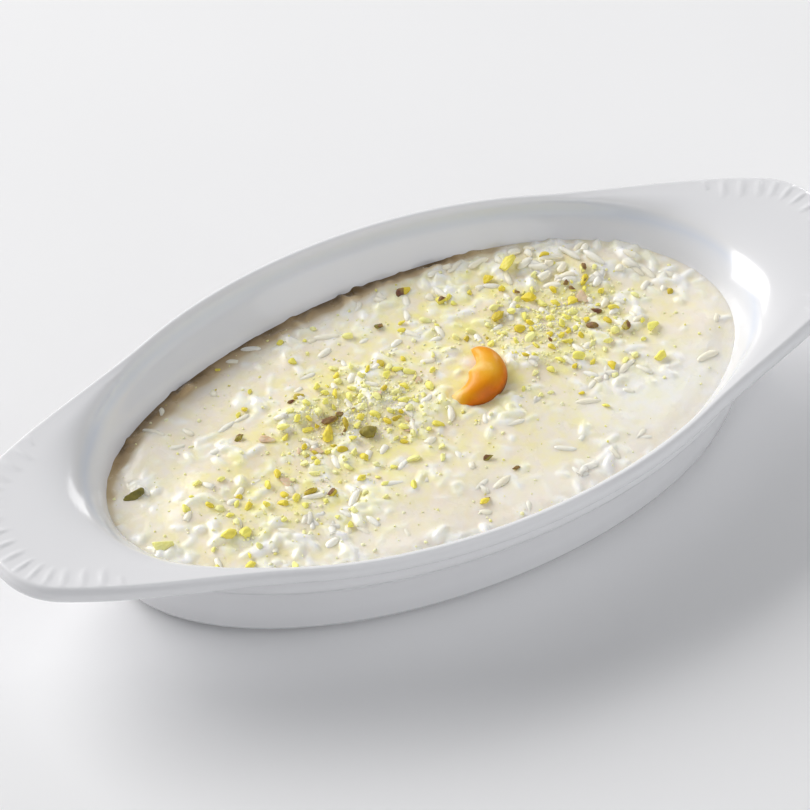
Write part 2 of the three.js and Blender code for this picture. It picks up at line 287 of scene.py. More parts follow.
def kheer_milk():
    """Thick cream-coloured milk, whiter over rice, tan where it has dried along the wall and darkened
    there by painted shadow.
    """
    s = Surface(
        "kheer", Specular_IOR_Level=0.5,
        Subsurface_Weight=0.5, Subsurface_Scale=2.5 * MM, Subsurface_Radius=(1.0, 0.9, 0.7),
    )
    rice, film, powder = (s.attribute(name) for name in ("rice", "film", "powder"))
    broad = s.spread(s.noise(14, 3), 0.35, 0.65)
    cream = s.mix(broad, srgb(242, 230, 216), srgb(249, 240, 231))
    fine = s.spread(s.noise(1.6, 4), 0.35, 0.7)
    cream = s.mix(s.math("MULTIPLY", fine, 0.5), cream, srgb(252, 247, 240))
    yellowed = s.mix(s.math("MULTIPLY", powder, 0.55), cream, srgb(244, 228, 184))
    whiter = s.mix(rice, yellowed, srgb(253, 250, 244))
    dusted = s.math("MULTIPLY", powder, s.spread(s.noise(2.2, 4), 0.38, 0.66, 0.0, 0.7))
    green = s.mix(dusted, whiter, srgb(250, 240, 140))
    # tan of dried milk, with painted shadow darkening it to brown next to the wall
    dried_and_shaded = s.ramp(
        s.math("ADD", film, s.spread(s.noise(4, 3), 0.3, 0.7, -0.12, 0.12)),
        (0.0, srgb(236, 220, 186)), (0.45, srgb(212, 188, 148)),
        (0.8, srgb(176, 150, 112)), (1.0, srgb(124, 102, 70)),
    )
    s.set("Base Color", s.mix(s.spread(film, 0, 0.35), green, dried_and_shaded))
    s.set("Roughness", s.spread(s.noise(3, 3), 0.3, 0.7, 0.2, 0.42))
    s.set("Normal", s.bump(s.noise(0.9, 3), 0.12))
    return s


def rice_white():
    """Cooked rice: white, a little see-through, wet with milk."""
    s = Surface(
        "rice", Specular_IOR_Level=0.35,
        Subsurface_Weight=0.5, Subsurface_Scale=1.0 * MM, Subsurface_Radius=(1.0, 0.95, 0.9),
    )
    tone = s.attribute("tone")
    white = s.mix(tone, srgb(248, 239, 216), srgb(253, 249, 238))
    milky = s.mix(s.spread(s.noise(2.0, 3), 0.4, 0.7, 0, 0.6), white, srgb(246, 236, 212))
    s.set("Base Color", milky)
    s.set("Roughness", s.spread(s.noise(1.2, 2), 0.3, 0.7, 0.26, 0.44))
    s.set("Normal", s.bump(s.noise(0.5, 2), 0.05))
    return s


def chopped_pistachio():
    """Yellow-green kernels with dark purple-brown skin on one side; tone goes from pale to olive."""
    s = Surface(
        "pistachio", Specular_IOR_Level=0.45,
        Subsurface_Weight=0.5, Subsurface_Scale=1.1 * MM, Subsurface_Radius=(1.0, 1.0, 0.5),
    )
    tone = s.attribute("tone")
    flesh = s.ramp(
        tone,
        (0.0, srgb(248, 246, 184)), (0.3, srgb(247, 240, 128)), (0.6, srgb(234, 212, 64)),
        (0.85, srgb(190, 168, 54)), (1.0, srgb(110, 104, 46)),
    )
    mottled = s.mix(s.spread(s.noise(1.1, 4), 0.4, 0.7, 0, 0.3), flesh, srgb(206, 190, 80))
    dark = s.mix(s.spread(s.noise(0.9, 4), 0.35, 0.65), srgb(112, 66, 48), srgb(146, 118, 62))
    s.set("Base Color", s.mix(s.attribute("skin"), mottled, dark))
    s.set("Roughness", s.spread(s.noise(0.8, 3), 0.3, 0.7, 0.42, 0.7))
    s.set("Normal", s.bump(s.noise(0.45, 4), 0.14))
    return s


def nut_powder():
    """Fine crumbs of pistachio, from pale yellow-green to brown."""
    s = Surface(
        "nut_powder", Specular_IOR_Level=0.4,
        Subsurface_Weight=0.4, Subsurface_Scale=0.6 * MM, Subsurface_Radius=(1.0, 1.0, 0.5),
    )
    shade = s.ramp(
        s.attribute("tone"),
        (0.0, srgb(252, 249, 212)), (0.45, srgb(250, 244, 164)), (0.75, srgb(242, 230, 108)),
        (0.93, srgb(190, 174, 78)), (1.0, srgb(118, 88, 56)),
    )
    s.set("Base Color", s.mix(s.spread(s.noise(0.7, 2), 0.3, 0.7, 0, 0.3), shade, srgb(238, 232, 200)))
    s.set("Roughness", s.spread(s.noise(0.6, 2), 0.3, 0.7, 0.5, 0.75))
    return s


def nut_flake():
    """Thin pinkish-tan flakes of nut."""
    s = Surface("nut_flake", Subsurface_Weight=0.3, Subsurface_Scale=1.0 * MM, Specular_IOR_Level=0.4)
    tan = s.mix(s.spread(s.noise(1.5, 4), 0.35, 0.65), srgb(212, 182, 146), srgb(230, 210, 180))
    s.set("Base Color", tan)
    s.set("Roughness", s.spread(s.noise(0.9, 2), 0.3, 0.7, 0.4, 0.6))
    s.set("Normal", s.bump(s.noise(0.6, 3), 0.06))
    return s


def fried_cashew():
    """Golden nut; the points' value, browning with painted shade and a painted highlight in it, goes from
    pale at 0 to dark orange and brown at 1.
    """
    s = Surface("cashew", Specular_IOR_Level=0.22)
    fried = s.math("ADD", s.attribute("fried"), s.spread(s.noise(3.2, 4), 0.3, 0.7, -0.12, 0.12))
    # the dark end holds painted shade as well as browning
    golden = s.ramp(
        fried,
        (0.0, srgb(250, 208, 130)), (0.2, srgb(236, 172, 48)), (0.45, srgb(232, 150, 20)),
        (0.72, srgb(214, 112, 0)), (1.0, srgb(128, 62, 0)),
    )
    s.set("Base Color", golden)
    s.set("Roughness", s.spread(s.noise(2.2, 3), 0.3, 0.7, 0.28, 0.45))
    creased = s.bump(s.noise(2.6, 3), 0.25)
    s.set("Normal", s.bump(s.noise(0.5, 3), 0.05, creased))
    return s


# ---- the dish ----

def arc(centre, radii, start, end, steps):
    """Points of an ellipse's arc, without its last."""
    angles = start + (end - start) * np.arange(steps) / steps
    x = centre[0] + radii[0] * np.cos(angles)
    y = centre[1] + radii[1] * np.sin(angles)
    return np.column_stack([x, y])


def bezier(corners, steps):
    """Points of a Bezier curve, without its last."""
    t = np.arange(steps)[:, None] / steps
    last = len(corners) - 1
    return sum(
        math.comb(last, k) * t**k * (1 - t) ** (last - k) * np.asarray(corner)
        for k, corner in enumerate(corners)
    )


def quarter_outline():
    """The rim's outline from (0, B) to the ear's tip at (TIP, 0)."""
    centre = np.array(EAR_CORNER)

    def on_corner(angle):
        return centre + EAR_RADIUS * np.array([math.cos(angle), math.sin(angle)])

    leave = np.array([A * math.cos(EAR_START), B * math.sin(EAR_START)])
    leaving = np.array([A * math.sin(EAR_START), -B * math.cos(EAR_START)])
    leaving /= np.linalg.norm(leaving)
    side_end = math.pi / 2 - EAR_SIDE
    arrive = on_corner(side_end)
    arriving = np.array([math.cos(EAR_SIDE), -math.sin(EAR_SIDE)])
    reach = np.linalg.norm(arrive - leave) / 3
    round_end = on_corner(EAR_END)
    pull = (TIP - round_end[0]) / math.sin(EAR_END)
    side = [leave, leave + leaving * reach, arrive - arriving * reach, arrive]
    end = [round_end, (TIP, round_end[1] - pull * math.cos(EAR_END)), (TIP, 0)]
    return np.vstack([
        arc((0, 0), (A, B), math.pi / 2, EAR_START, OUTLINE_STEPS["ellipse"]),
        bezier(side, OUTLINE_STEPS["side"]),
        arc(EAR_CORNER, (EAR_RADIUS, EAR_RADIUS), side_end, EAR_END, OUTLINE_STEPS["corner"]),
        bezier(end, OUTLINE_STEPS["end"]),
        [(TIP, 0)],
    ])


def whole_outline():
    """The outline, counter-clockwise from the tip at +X."""
    quarter = quarter_outline()[::-1]
    half = np.vstack([quarter, quarter[-2::-1] * (-1, 1)])
    return np.vstack([half, half[-2:0:-1] * (1, -1)])


def outward(outline):
    """Directions of length 1 that point out of the outline at each of its points."""
    along = np.roll(outline, -1, axis=0) - np.roll(outline, 1, axis=0)
    return np.column_stack([along[:, 1], -along[:, 0]]) / np.linalg.norm(along, axis=1)[:, None]


OUTLINE = whole_outline()
OUTWARD = outward(OUTLINE)
ON_ELLIPSE = OUTLINE / np.hypot(OUTLINE[:, 0] / A, OUTLINE[:, 1] / B)[:, None]
EARED = smoothstep(np.abs(OUTLINE[:, 0]), 70, 105)  # from 0 along the sides to 1 at the ears


def at_height(plan, z):
    """Points in plan, as points at one height."""
    return np.column_stack([plan, np.full(len(plan), z)])


def eared_ring(inset, drop):
    """The eared outline, moved inwards, that far below the dish's top."""
    return at_height(OUTLINE - OUTWARD * inset, HEIGHT - drop)


def oval_ring(a, b, z):
    """An ellipse of that half-length and half-width, with a point for each of the outline's."""
    return at_height(ON_ELLIPSE * (a / A, b / B), z)


def flared_ring(side, ear):
    """A ring that is one ellipse along the sides and another one at the ears."""
    share = EARED[:, None]
    return oval_ring(*side) * (1 - share) + oval_ring(*ear) * share


def dish_stations():
    """The section's corners, from inside the foot out and up over the rim and down to the floor.

    Each is a ring, how far from the corner its rounding starts, and the longest step after it.
    """
    groove = oval_ring(94.2, 52.8, 26.0)
    lip_under = eared_ring(1.6, 5.4)
    under_ear = (groove + lip_under) / 2
    under_ear[:, 2] = HEIGHT - 6.7
    bead = flared_ring((93.8, 54.2, 33.0), (99.0, 52.6, 33.0))
    throat = flared_ring(CAVITY[0], (92.2, 51.4, 28.0))
    return [
        (oval_ring(30, 14, UNDER), 1, 30),
        (oval_ring(79.6, 38.0, UNDER), 1.2, 30),
        (oval_ring(82.2, 40.6, 0), 0.9, 9),
        (oval_ring(84.6, 43.0, 0), 0.5, 9),
        (oval_ring(84.9, 43.3, 2.4), 0.6, 9),
        (oval_ring(89.7, 48.2, 2.4), 2.4, 9),
        (oval_ring(93.5, 52.0, 20.4), 1.2, 3),
        (oval_ring(95.2, 54.0, 23.2), 1.0, 3),
        (groove, 0.5, 5),
        (under_ear, 4, 5),
        (lip_under, 1.3, 9),
        (eared_ring(0, 3.9), 0.9, 9),
        (eared_ring(0.2, 1.9), 0.9, 9),
        (eared_ring(1.3, 0.1), 0.8, 1.15),
        (bead, 1.4 + 11.8 * EARED, 3),
        (throat, 2.6 + 0.9 * EARED, 4),
        (oval_ring(*CAVITY[1]), 3.5, 8),
        (oval_ring(*CAVITY[2]), 2, 9),
        (oval_ring(*CAVITY[3]), 2, 30),
        (oval_ring(40, 18, FLOOR), 2, 30),
    ]


def rounded_section(stations):
    """Rings through the stations, with each corner rounded off and the long stretches divided."""
    def towards(ring, other, cut):
        step = other - ring
        share = np.minimum(cut / np.linalg.norm(step, axis=1), 0.49)
        return ring + step * share[:, None]

    rings = [stations[0][0]]
    for (before, _, longest), (ring, cut, _), (after, _, _) in zip(stations, stations[1:], stations[2:]):
        start, end = towards(ring, before, cut), towards(ring, after, cut)
        previous = rings[-1]
        parts = math.ceil(np.linalg.norm(start - previous, axis=1).max() / longest)
        rings.extend(previous + (start - previous) * k / parts for k in range(1, parts))
        for t in np.linspace(0, 1, max(4, math.ceil(1.2 * np.max(cut)))):
            rings.append((1 - t) ** 2 * start + 2 * t * (1 - t) * ring + t**2 * end)
    rings.append(stations[-1][0])
    return np.array(rings)


def edge_place(points):
    """How far each point lies from the outline, and how far along it from the nearer ear's tip."""
    lengths = np.linalg.norm(np.roll(OUTLINE, -1, axis=0) - OUTLINE, axis=1)
    travelled = np.concatenate([[0], np.cumsum(lengths)[:-1]])
    half = lengths.sum() / 2
    away = np.linalg.norm(points[:, None] - OUTLINE, axis=2)
    nearest = away.argmin(axis=1)
    tangent = np.column_stack([-OUTWARD[:, 1], OUTWARD[:, 0]])[nearest]
    along = (travelled[nearest] + ((points - OUTLINE[nearest]) * tangent).sum(axis=1)) % half
    return away.min(axis=1), np.minimum(along, half - along)


def rib_lift(rings):
    """How far the ribs, which stand across the ears' edges, lift each point of the dish's top."""
    top = HEIGHT - 1.5
    lift = np.zeros(rings.shape[:2])
    ribbed = (rings[:, :, 2] > top) & (np.abs(rings[:, :, 0]) > TIP - RIB["reach"])
    inwards, from_tip = edge_place(rings[ribbed][:, :2])
    across = ((from_tip / RIB["pitch"]) % 1 - 0.5) * RIB["pitch"] / (RIB["width"] / 2)
    along = (inwards - RIB["inset"]) / (RIB["length"] / 2)
    swell = np.cos(np.clip(across, -1, 1) * math.pi / 2) ** 2
    fade = np.cos(np.clip(along, -1, 1) * math.pi / 2)
    lift[ribbed] = RIB["height"] * swell * fade
    return lift


def make_dish():
    """The glazed dish, lofted from its foot over its rim to its floor, with its inside wall marked for
    painted shade.
    """
    rings = rounded_section(dish_stations())
    rings[:, :, 2] += rib_lift(rings)
    points, faces = loft(rings, (0, 0, UNDER), (0, 0, FLOOR))
    out = np.hypot(points[:, 0] / CAVITY[0][0], points[:, 1] / CAVITY[0][1])
    past_crest = np.cumsum(points[:, 2] > HEIGHT - 0.3) > 0
    # how much painted shade the wall inside the rim takes, growing towards its top
    inside = smoothstep(out, 1.03, 1.0) * past_crest * (0.2 + 0.8 * smoothstep(points[:, 2], 27, 30))
    make_piece("dish_glazed", "porcelain", "dish", points, faces, porcelain(), inside=inside)


# ---- the pudding's surface ----

def random_from(seed):
    """The seeded generator of the part's source, which makes the same lumps from the same seed."""
    word = 0xFFFFFFFF
    state = seed

    def draw():
        nonlocal state
        state = (state + 0x6D2B79F5) & word
        t = state
        t = (t ^ t >> 15) * (t | 1) & word
        t ^= t + (t ^ t >> 7) * (t | 61) & word
        return (t ^ t >> 14) / 2**32

    return draw


def make_lumps():
    """Soft lumps where rice lies just under the milk: x, y, radius and height of each."""
    draw = random_from(11)
    count, usual_radius = 70, 8
    lumps = []
    for _ in range(count):
        angle = draw() * 2 * math.pi
        out = math.sqrt(draw())
        radius = usual_radius * (0.7 + 0.8 * draw())
        height = draw() * 1.6 - 0.45
        lumps.append((LEVEL_A * out * math.cos(angle), LEVEL_B * out * math.sin(angle), radius, height))
    return lumps


def out_and_angle(x, y):
    """How far out a place is, from 0 to 1 at the wall, and its angle round the dish."""
    return np.hypot(x / LEVEL_A, y / LEVEL_B), np.arctan2(y / LEVEL_B, x / LEVEL_A)


def towards_wall(x, y, part):
    """How much a place belongs to a part of the pudding along the wall."""
    out, angle = out_and_angle(x, y)
    return smoothstep(out, 0.6, 1) * np.exp(-(((angle - part["angle"]) / part["spread"]) ** 2))


def smooth_height(x, y):
    """The pudding's height before its rice, as the CAD solid has it: a low crown with lumps."""
    out = np.minimum(1, out_and_angle(x, y)[0])
    relief = np.zeros_like(x)
    for lump_x, lump_y, radius, height in make_lumps():
        away = np.hypot(x - lump_x, y - lump_y) / radius
        relief += np.where(away < 2, height * np.exp(-1.6 * away**2), 0)
    at_wall = sum(part["height"] * towards_wall(x, y, part) for part in (SUNK, HEAPED))
    return LEVEL - 0.5 + 1.1 * (1 - out**2) + at_wall + smoothstep(1 - out, 0, 0.1) * (0.5 + relief)


# Patches of the pudding follow, each as its middle and its spread along X and Y.

# Where the chopped pistachio was scattered, pinch by pinch, and each pinch's share of it.
PINCHES = [
    ((-16, 5, 17, 9), 0.34),
    ((45, 11, 14, 11), 0.30),
    ((12, 8, 42, 22), 0.22),
    ((-48, -14, 22, 12), 0.14),
]
POWDER_SPREAD = 1.7  # how much further than the pieces the powder of a pinch spread

# Where only the finest powder fell, outside the pinches, and how thick it is.
DUSTED = [((24, 31, 20, 9), 0.9), ((23, -28, 18, 9), 0.45)]

# Where milk has run together and covers the rice.
POOLS = [(40, -28, 34, 9), (-66, 6, 12, 12), (-12, -34, 18, 8), (76, -8, 9, 12), (-38, 30, 22, 8)]

# Where the milk is whitest.
WHITEST = (58, -22, 24, 12)


def dusting(x, y):
    """How thickly the nut powder lies at a place, from 0 to about 1."""
    total = np.zeros_like(x)
    for place, thick in DUSTED:
        total += thick * patch(x, y, *place)
    for (middle_x, middle_y, spread_x, spread_y), _ in PINCHES:
        total += patch(x, y, middle_x, middle_y, POWDER_SPREAD * spread_x, POWDER_SPREAD * spread_y)
    return np.minimum(1, 0.75 * total)


def milky(x, y):
    """How deep the milk lies over the rice, from 0 to 1."""
    depth = np.zeros_like(x)
    for pool in POOLS:
        depth = np.maximum(depth, patch(x, y, *pool))
    return depth


def in_the_dish(rng, count):
    """Places spread evenly over the pudding."""
    angle = rng.uniform(0, 2 * math.pi, count)
    out = np.sqrt(rng.uniform(0, 1, count))
    return LEVEL_A * out * np.cos(angle), LEVEL_B * out * np.sin(angle)


def clumped(x, y):
    """How much rice stands together at a place, from 0 to about 1: soft clumps a few grains wide."""
    rng = np.random.default_rng(17)
    count = 85
    total = np.zeros_like(x)
    for middle_x, middle_y, spread in zip(*in_the_dish(rng, count), rng.uniform(2.2, 4.6, count)):
        total += np.exp(-((x - middle_x) ** 2 + (y - middle_y) ** 2) / spread**2)
    return np.minimum(1, total)


def blurred(values, size):
    """Values of the field, blurred by a bell curve of that size in millimetres."""
    reach = math.ceil(3 * size / FIELD_STEP)
    bell = np.exp(-0.5 * (np.arange(-reach, reach + 1) * FIELD_STEP / size) ** 2)
    bell /= bell.sum()
    padded = np.pad(values, reach, mode="edge")
    along = np.apply_along_axis(np.convolve, 0, padded, bell, mode="valid")
    return np.apply_along_axis(np.convolve, 1, along, bell, mode="valid")


class Pudding:
    """The pudding's surface with its sunken rice, as a grid of heights."""

    def __init__(self):
        self.low = np.array([-LEVEL_A - 4, -LEVEL_B - 4])
        columns = np.arange(self.low[0], -self.low[0], FIELD_STEP)
        rows = np.arange(self.low[1], -self.low[1], FIELD_STEP)
        self.x, self.y = np.meshgrid(columns, rows)
        self.height = smooth_height(self.x, self.y)
        self.rice = np.zeros_like(self.height)
        self.sink_rice(np.random.default_rng(7))
        self.height = blurred(self.height, 0.34)
        self.rice = blurred(self.rice, 0.5)
        self.smooth = blurred(self.height, 1.6)

    def sink_rice(self, rng, count=1900):
        """Grains just under and in the surface, which the milk joins softly."""
        blend = 0.18  # how far the milk rounds off the seam along a grain
        window = 4.6  # how far from its middle a grain can reach
        xs, ys = in_the_dish(rng, count)
        heaped = towards_wall(xs, ys, HEAPED)
        shown = rng.normal(0.0, 0.3, count)
        shown = shown + 0.9 * heaped + 0.85 * clumped(xs, ys) - 0.5 * milky(xs, ys)
        lengths = rng.uniform(3.0, 7.4, count)
        widths = rng.uniform(2.0, 2.7, count)
        turns = rng.uniform(0, math.pi, count)
        bases = smooth_height(xs, ys)
        for x, y, base, up, length, width, turn in zip(xs, ys, bases, shown, lengths, widths, turns):
            first = ((np.array([x, y]) - window - self.low) / FIELD_STEP).astype(int)
            last = first + int(2 * window / FIELD_STEP) + 1
            part = np.s_[max(0, first[1]):last[1], max(0, first[0]):last[0]]
            dx, dy = self.x[part] - x, self.y[part] - y
            along = (dx * math.cos(turn) + dy * math.sin(turn)) / (length / 2)
            across = (dy * math.cos(turn) - dx * math.sin(turn)) / (width / 2)
            share = np.abs(along) ** 2.6 + across**2
            radius = width / 2
            middle = base - radius + up
            top = middle + radius * np.where(share < 1, np.sqrt(np.maximum(0, 1 - share)), 1 - share)
            level = self.height[part]
            gap = top - level
            self.height[part] = 0.5 * (level + top + np.sqrt(gap**2 + blend**2))
            self.rice[part] = np.maximum(self.rice[part], smoothstep(gap, -0.25, 0.35))

    def at(self, values, x, y):
        """The field's values at places between its grid's points."""
        column = (x - self.low[0]) / FIELD_STEP
        row = (y - self.low[1]) / FIELD_STEP
        i = np.clip(column.astype(int), 0, values.shape[1] - 2)
        j = np.clip(row.astype(int), 0, values.shape[0] - 2)
        s, t = column - i, row - j
        lower = values[j, i] * (1 - s) + values[j, i + 1] * s
        upper = values[j + 1, i] * (1 - s) + values[j + 1, i + 1] * s
        return lower * (1 - t) + upper * t

    def level_at(self, x, y):
        """The surface's height at places."""
        return self.at(self.height, x, y)

    def tilt_at(self, x, y):
        """Angles about X and Y that lay a thing along the surface."""
        step = 1.0
        rise_x = self.at(self.smooth, x + step, y) - self.at(self.smooth, x - step, y)
        rise_y = self.at(self.smooth, x, y + step) - self.at(self.smooth, x, y - step)
        return np.arctan(rise_y / (2 * step)), -np.arctan(rise_x / (2 * step))


pudding = Pudding()


def cavity_at(z):
    """The cavity's half-length and half-width at heights."""
    heights = [ring[2] for ring in reversed(CAVITY)]
    return [np.interp(z, heights, [ring[k] for ring in reversed(CAVITY)]) for k in (0, 1)]


def dried_film(x, y):
    """How thickly milk has dried at a place and how deep the wall's painted shadow on it is, from 0 to 1:
    a ragged band along the back left wall.
    """
    out, angle = out_and_angle(x, y)
    from_wall = (1 - out) * LEVEL_B * np.hypot(1, (LEVEL_A / LEVEL_B - 1) * np.cos(angle))
    ragged = 0.35 * np.sin(23 * angle) + 0.25 * np.sin(57 * angle + 1)
    reach = 1.5 + 6.0 * smoothstep(angle, 3.1, 2.3) * smoothstep(angle, 0.9, 1.7)
    film = smoothstep(from_wall + ragged, reach, 0.3) * smoothstep(angle, 0.9, 1.3) * (angle > 0)
    return film * (1 - 0.75 * smoothstep(angle, 2.5, 3.05))


def pudding_top(columns=372, rows=196):
    """The pudding's top: a fine square grid stretched over the dish's oval and a little into its wall.

    Returns its points, its faces of four corners, and the points along its rim, counter-clockwise.
    """
    into_wall = 0.8
    u, v = np.meshgrid(np.linspace(-1, 1, columns + 1), np.linspace(-1, 1, rows + 1))
    across, along = u * np.sqrt(1 - v**2 / 2), v * np.sqrt(1 - u**2 / 2)
    out = np.hypot(across, along)
    rim = np.maximum(out, 1e-6)
    wall_level = pudding.level_at(LEVEL_A * across / rim, LEVEL_B * along / rim)
    wall_a, wall_b = cavity_at(wall_level)
    grow = smoothstep(out, 0.8, 1)
    x = across * (LEVEL_A + grow * (wall_a + into_wall - LEVEL_A))
    y = along * (LEVEL_B + grow * (wall_b + into_wall - LEVEL_B))
    x, y = x.ravel(), y.ravel()
    climb, climb_width = 0.45, 0.9  # of the milk, up the wall
    meniscus = climb * np.exp(-(1 - out.ravel()) * LEVEL_B / climb_width)
    top = np.column_stack([x, y, pudding.level_at(x, y) + meniscus])

    index = np.arange(len(top)).reshape(rows + 1, columns + 1)
    corners = [index[:-1, :-1], index[:-1, 1:], index[1:, 1:], index[1:, :-1]]
    faces = np.stack(corners, axis=-1).reshape(-1, 4)
    rim_index = np.concatenate([index[0, :-1], index[:-1, -1], index[-1, :0:-1], index[:0:-1, 0]])
    return top, faces, rim_index


def make_kheer():
    """The pudding's core: its top, and a skirt from the top's rim down the cavity to the floor."""
    depths = (15.0, 8.5, 5.4)
    top, faces, rim = pudding_top()
    around = np.arange(len(rim))
    after = (around + 1) % len(rim)
    points, faces = [top], [faces]
    upper = rim
    total = len(top)
    for z in depths:
        a, b = cavity_at(z)
        on_wall = top[rim, :2] / np.hypot(top[rim, 0] / a, top[rim, 1] / b)[:, None]
        points.append(at_height(on_wall, z))
        lower = total + around
        faces.append(np.column_stack([upper[after], upper, lower, lower[after]]))
        upper = lower
        total += len(around)
    points.append([(0, 0, depths[-1])])
    faces.append(np.column_stack([upper[after], upper, np.full(len(around), total)]))
    points = np.vstack(points)
    x, y = points[:, 0], points[:, 1]
    make_piece(
        "kheer_milk", "kheer", "kheer", points, [face for part in faces for face in part.tolist()],
        kheer_milk(),
        rice=np.maximum(pudding.at(pudding.rice, x, y), 0.8 * patch(x, y, *WHITEST)),
        film=dried_film(x, y),
        powder=dusting(x, y),
    )


# ---- what lies on the pudding ----

def clear_of_cashew(x, y, reach):
    """Whether a thing with that reach lies clear of the nut on top."""
    middle_x = CASHEW["x"] + 0.6 * CASHEW["bend"] * math.cos(CASHEW["turn"])
    middle_y = CASHEW["y"] + 0.6 * CASHEW["bend"] * math.sin(CASHEW["turn"])
    return np.hypot(x - middle_x, y - middle_y) > CASHEW["bend"] + CASHEW["thick"] / 2 - 1.5 + reach


def clear_of_wall(x, y, reach):
    """Whether a thing with that reach lies clear of the dish's wall."""
    return np.hypot(x / (LEVEL_A - reach - 0.6), y / (LEVEL_B - reach - 0.6)) < 1


def rice_grain(rng, rings=9, round_steps=10):
    """A cooked grain along X, about 2 long and 2 thick, blunt, bent and uneven; some are broken."""
    t = -np.cos(np.linspace(0, math.pi, rings + 2))[1:-1]
    broken = rng.uniform() < 0.35
    reach = np.minimum(t, rng.uniform(0.0, 0.4)) if broken else t
    radius = (1 - np.abs(t) ** 2.8) ** 0.45
    radius *= 1 + 0.08 * np.sin(rng.uniform(2, 5) * t + rng.uniform(0, 6))
    bend = rng.uniform(-0.35, 0.35)
    angle = np.arange(round_steps) * 2 * math.pi / round_steps
    body = [
        np.column_stack([
            np.full(round_steps, along),
            r * np.cos(angle) * (1 + 0.07 * np.sin(2 * angle + bend)) + bend * along**2,
            -r * np.sin(angle) * 0.88,
        ])
        for along, r in zip(reach, radius)
    ]
    return loft(body, (-1.02, bend, 0), (reach[-1] + 0.04, bend * reach[-1] ** 2, 0))


def triangles(faces):
    """Faces of three or four corners, all as triangles."""
    out = []
    for face in faces:
        out.append(face[:3])
        if len(face) == 4:
            out.append((face[0], face[2], face[3]))
    return np.array(out)


def scatter_rice(count=185):
    """Loose grains on top, lying along the surface and more than half sunk in the milk."""
    rng = np.random.default_rng(29)
    parts, tones = [], []
    while len(parts) < count:
        (x,), (y,) = in_the_dish(rng, 1)
        heaped = towards_wall(x, y, HEAPED)
        length = rng.uniform(3.6, 7.2)
        width = rng.uniform(1.7, 2.3)
        turn = rng.uniform(0, 2 * math.pi)
        sunk = rng.uniform(0.6, 0.94) - 0.6 * heaped
        tone = rng.uniform()
        if rng.uniform() > 0.42 + 1.5 * heaped - 0.4 * milky(x, y):
            continue
        if not clear_of_wall(x, y, length / 2 - 0.6) or not clear_of_cashew(x, y, length / 2):
            continue
        points, faces = rice_grain(rng)
        points = points * (length / 2, width / 2, width / 2)
        points = turned(points, (0, rng.uniform(-0.12, 0.12), turn))
        points = turned(points, (*pudding.tilt_at(x, y), 0))
        ends = np.array([-0.35, 0, 0.35]) * length
        rest = pudding.level_at(x + ends * math.cos(turn), y + ends * math.sin(turn)).mean()
        points += (x, y, rest + width / 2 * (1 - 2 * sunk) * 0.88)
        parts.append((points, triangles(faces)))
        tones.append(tone)
    points, faces, counts = joined(parts)
    tone = np.repeat(tones, counts)
    make_piece("rice_grains", "kheer", "kheer", points, faces, rice_white(), tone=tone)


def chopped(rng, sphere, planes=9):
    """A bit of nut as the knife leaves it: a ball cut by planes, with rough faces and worn edges."""
    normals = rng.normal(size=(planes, 3))
    normals /= np.linalg.norm(normals, axis=1)[:, None]
    depths = rng.uniform(0.35, 0.9, planes)
    sharp = 26  # the higher, the sharper the edges
    facing = np.maximum(sphere @ normals.T / depths, 1e-3)
    reach = ((facing**sharp).sum(axis=1) + 1) ** (-1 / sharp)
    rough = np.sin(sphere @ rng.normal(size=(3, 4)) * 6 + rng.uniform(0, 6, 4)).sum(axis=1)
    return sphere * (reach * (1 + 0.03 * rough))[:, None]


# The bits that stand out: x, y, length, how olive they are, how much of them is skin, and their turn.
NOTABLE = [
    (42.5, 33.5, 5.8, 0.40, 0.0, 0.5),
    (36.0, 32.0, 3.6, 0.62, 0.0, 0.2),
    (-79.8, 7.0, 6.4, 1.00, 0.0, -0.45),
    (-17.1, -2.6, 5.6, 0.96, 0.1, 0.0),
    (-27.5, 1.8, 5.0, 0.55, 0.0, 1.2),
    (-24.6, 6.0, 4.6, 0.88, 0.4, 0.2),
    (-21.2, 6.6, 2.8, 0.98, 0.6, 0.2),
    (-23.6, 0.4, 2.4, 0.80, 1.0, 0.5),
    (-65.6, -17.6, 4.2, 0.42, 0.0, 0.1),
    (-61.2, -19.0, 4.4, 0.34, 0.0, 0.3),
    (-65.0, -28.0, 3.4, 0.45, 0.0, 0.0),
    (-81.5, -12.0, 5.2, 0.12, 0.0, -0.5),
    (55.4, 8.3, 2.9, 0.90, 1.0, -0.3),
    (31.3, 18.2, 4.6, 0.78, 0.0, 0.4),
    (21.4, 31.2, 3.6, 0.45, 0.1, 0.0),
    (59.8, -0.4, 3.9, 0.92, 0.3, 0.9),
    (66.0, -3.4, 4.8, 0.30, 0.0, 0.3),
    (61.4, -14.4, 4.6, 0.40, 0.0, 0.2),
    (42.0, 20.5, 4.0, 0.60, 0.0, 0.1),
    (52.5, 31.0, 3.2, 0.70, 0.0, 0.0),
    (52.0, 14.5, 3.8, 0.55, 0.0, 0.7),
    (58.0, 19.0, 3.2, 0.62, 0.1, 0.7),
    (2.7, 30.4, 2.8, 1.00, 0.4, 0.0),
    (14.5, 39.2, 4.0, 0.66, 0.4, 0.2),
    (-36.6, -28.4, 3.4, 0.34, 0.0, 0.2),
    (-40.3, -13.6, 3.6, 0.84, 0.2, 0.3),
    (-35.4, -16.8, 3.4, 0.72, 0.3, 0.3),
    (-48.1, 11.3, 2.6, 0.95, 0.3, 0.0),
    (5.2, -24.5, 2.8, 0.95, 0.4, 0.0),
    (-2.7, -37.0, 3.4, 0.55, 0.1, 0.3),
    (9.5, -31.0, 2.2, 0.92, 0.7, 0.0),
    (42.5, -4.6, 4.0, 0.32, 0.0, 0.1),
    (35.5, 7.5, 4.8, 0.08, 0.0, 0.8),
]


